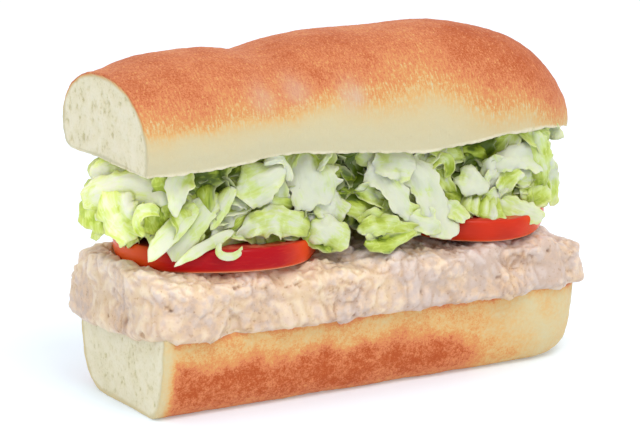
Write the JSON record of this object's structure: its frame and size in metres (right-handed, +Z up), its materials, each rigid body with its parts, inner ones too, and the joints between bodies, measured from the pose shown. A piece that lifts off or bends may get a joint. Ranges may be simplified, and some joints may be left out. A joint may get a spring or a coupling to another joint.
{
  "type": "submarine sandwich",
  "caption": "Half of a long soft roll split level and filled with tuna salad, tomato slices and shredded lettuce.",
  "frame": {"origin": "on the flat foot of the lower bread, under the middle of the sandwich", "axes": "+X along the loaf from the cut end to the round heel, -Y to the front that the picture shows, +Z up"},
  "size_m": [0.1679, 0.0667, 0.1073],
  "materials": {
    "bread": "matte baked crust, off-white crumb on the cut faces",
    "tuna_salad": "moist and lumpy",
    "tomato": "wet and smooth",
    "lettuce": "crisp, with a soft sheen"
  },
  "bodies": {
    "root": {"bread_base": "bread", "tuna_salad": "tuna_salad", "tomato_slice_left": "tomato", "tomato_slice_right": "tomato", "lettuce": "lettuce", "bread_crown": "bread"}
  },
  "joints": []
}
